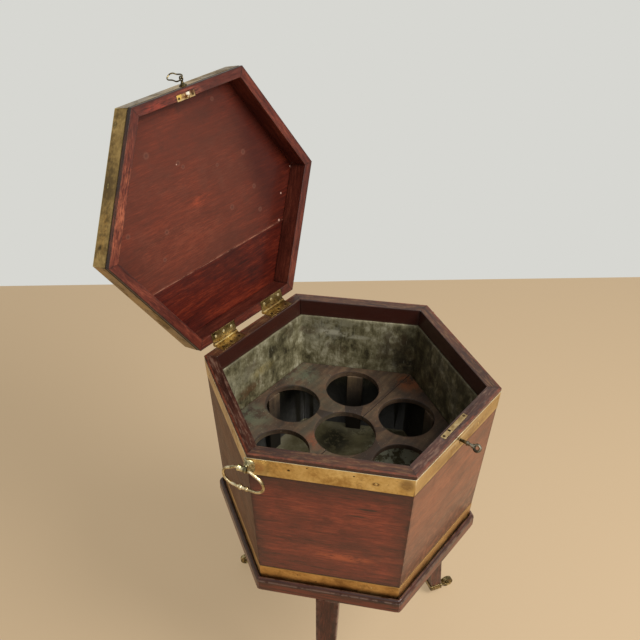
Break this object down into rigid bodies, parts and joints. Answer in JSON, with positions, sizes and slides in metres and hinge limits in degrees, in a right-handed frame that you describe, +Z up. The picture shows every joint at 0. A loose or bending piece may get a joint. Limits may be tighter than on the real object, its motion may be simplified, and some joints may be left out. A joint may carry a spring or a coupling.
{
  "type": "cellarette",
  "caption": "Hexagonal brass-bound mahogany wine box with a hinged lid, lead liner and bottle divider, on a splayed three-legged stand with casters.",
  "frame": {"origin": "on the floor, under the middle of the whole piece with its lid open", "axes": "+Z up; -Y is the front with the lock and key; the lid is hinged at the back, towards +Y; the carrying handles are towards -X and +X"},
  "size_m": [0.5138, 0.6106, 1.0909],
  "materials": {
    "body_wood": "old french polish over figured mahogany, satin, with worn edges",
    "lid_wood": "mahogany, waxed, with old water marks inside",
    "stand_wood": "old french polish over mahogany, satin",
    "divider_wood": "raw aged deal, dusty",
    "lead": "dull oxidised lead sheet",
    "band_brass": "worn golden brass, brushed by handling",
    "lid_band_brass": "dull bronzed brass",
    "hinge_brass": "aged brass",
    "lock_brass": "aged brass",
    "handle_brass": "brass, bright where it is held and dark in the hollows",
    "pull_brass": "dark bronzed brass",
    "caster_brass": "tarnished brass",
    "steel": "dark oiled steel"
  },
  "bodies": {
    "cabinet": {"panel_back_right": "body_wood", "panel_back": "body_wood", "panel_back_left": "body_wood", "panel_front_left": "body_wood", "panel_front": "body_wood", "panel_front_right": "body_wood", "carcass_bottom": "body_wood", "band_top": "band_brass", "band_bottom": "band_brass", "lead_liner": "lead", "divider_back": "divider_wood", "divider_front": "divider_wood", "prop_back_right": "divider_wood", "prop_back": "divider_wood", "prop_back_left": "divider_wood", "prop_front_left": "divider_wood", "prop_front": "divider_wood", "prop_front_right": "divider_wood", "hinge_left_body_leaf": "hinge_brass", "hinge_right_body_leaf": "hinge_brass", "lock_case": "lock_brass", "handle_left_post": "handle_brass", "handle_right_post": "handle_brass", "stand_rail_back_right": "stand_wood", "stand_rail_back": "stand_wood", "stand_rail_back_left": "stand_wood", "stand_rail_front_left": "stand_wood", "stand_rail_front": "stand_wood", "stand_rail_front_right": "stand_wood", "leg_back": "stand_wood", "leg_front_left": "stand_wood", "leg_front_right": "stand_wood", "caster_cup_back": "caster_brass", "caster_cup_front_left": "caster_brass", "caster_cup_front_right": "caster_brass"},
    "lid": {"lid_rail_back_right": "lid_wood", "lid_rail_back": "lid_wood", "lid_rail_back_left": "lid_wood", "lid_rail_front_left": "lid_wood", "lid_rail_front": "lid_wood", "lid_rail_front_right": "lid_wood", "lid_board_wide": "lid_wood", "lid_board_narrow": "lid_wood", "lid_band": "lid_band_brass", "link_plate": "hinge_brass", "hinge_left_lid_leaf": "hinge_brass", "hinge_right_lid_leaf": "hinge_brass", "pull_post": "pull_brass"},
    "lid_pull": {"pull_loop": "pull_brass"},
    "left_bail": {"handle_left_bail": "handle_brass"},
    "right_bail": {"handle_right_bail": "handle_brass"},
    "key": {"key": "steel"},
    "bolt": {"lock_bolt": "steel"},
    "fork_back": {"caster_fork_back": "caster_brass"},
    "wheel_back": {"caster_wheel_back": "caster_brass"},
    "fork_front_left": {"caster_fork_front_left": "caster_brass"},
    "wheel_front_left": {"caster_wheel_front_left": "caster_brass"},
    "fork_front_right": {"caster_fork_front_right": "caster_brass"},
    "wheel_front_right": {"caster_wheel_front_right": "caster_brass"}
  },
  "joints": [
    {"name": "lid_hinge", "type": "hinge", "parent": "cabinet", "child": "lid", "pos_m": [0.00236, 0.14949, 0.67058], "axis": [1, 0, 0], "range_deg": [0, 104.3]},
    {"name": "key_turn", "type": "hinge", "parent": "cabinet", "child": "key", "pos_m": [0.00236, -0.27195, 0.65043], "axis": [0, -1, 0], "range_deg": [0, 70]},
    {"name": "bolt_slide", "type": "slide", "parent": "cabinet", "child": "bolt", "axis": [-1, 0, 0], "range_m": [0, 0.007]},
    {"name": "left_bail_swing", "type": "hinge", "parent": "cabinet", "child": "left_bail", "pos_m": [-0.24712, -0.06411, 0.64843], "axis": [-0.2419, 0.9703, 0], "range_deg": [-11, 150]},
    {"name": "right_bail_swing", "type": "hinge", "parent": "cabinet", "child": "right_bail", "pos_m": [0.25185, -0.06411, 0.64843], "axis": [0, -1, 0], "range_deg": [-11, 150]},
    {"name": "pull_swing", "type": "hinge", "parent": "lid", "child": "lid_pull", "pos_m": [0.00236, 0.27309, 1.08606], "axis": [1, 0, 0], "range_deg": [-16, 170]},
    {"name": "fork_turn_back", "type": "hinge", "parent": "cabinet", "child": "fork_back", "pos_m": [0.00236, 0.15613, 0.01342], "axis": [0, 0, 1], "continuous": true},
    {"name": "wheel_spin_back", "type": "hinge", "parent": "fork_back", "child": "wheel_back", "pos_m": [-0.02212, 0.17596, 0.01192], "axis": [-0.6293, -0.7771, 0], "continuous": true},
    {"name": "fork_turn_front_left", "type": "hinge", "parent": "cabinet", "child": "fork_front_left", "pos_m": [-0.18837, -0.17423, 0.01342], "axis": [0, 0, 1], "continuous": true},
    {"name": "wheel_spin_front_left", "type": "hinge", "parent": "fork_front_left", "child": "wheel_front_left", "pos_m": [-0.20506, -0.20094, 0.01192], "axis": [0.848, -0.5299, 0], "continuous": true},
    {"name": "fork_turn_front_right", "type": "hinge", "parent": "cabinet", "child": "fork_front_right", "pos_m": [0.1931, -0.17423, 0.01342], "axis": [0, 0, 1], "continuous": true},
    {"name": "wheel_spin_front_right", "type": "hinge", "parent": "fork_front_right", "child": "wheel_front_right", "pos_m": [0.2201, -0.19045, 0.01192], "axis": [0.515, 0.8572, 0], "continuous": true}
  ],
  "couplings": [
    {"joint": "key_turn", "follows": "bolt_slide", "rad_per_m": 174.53}
  ]
}
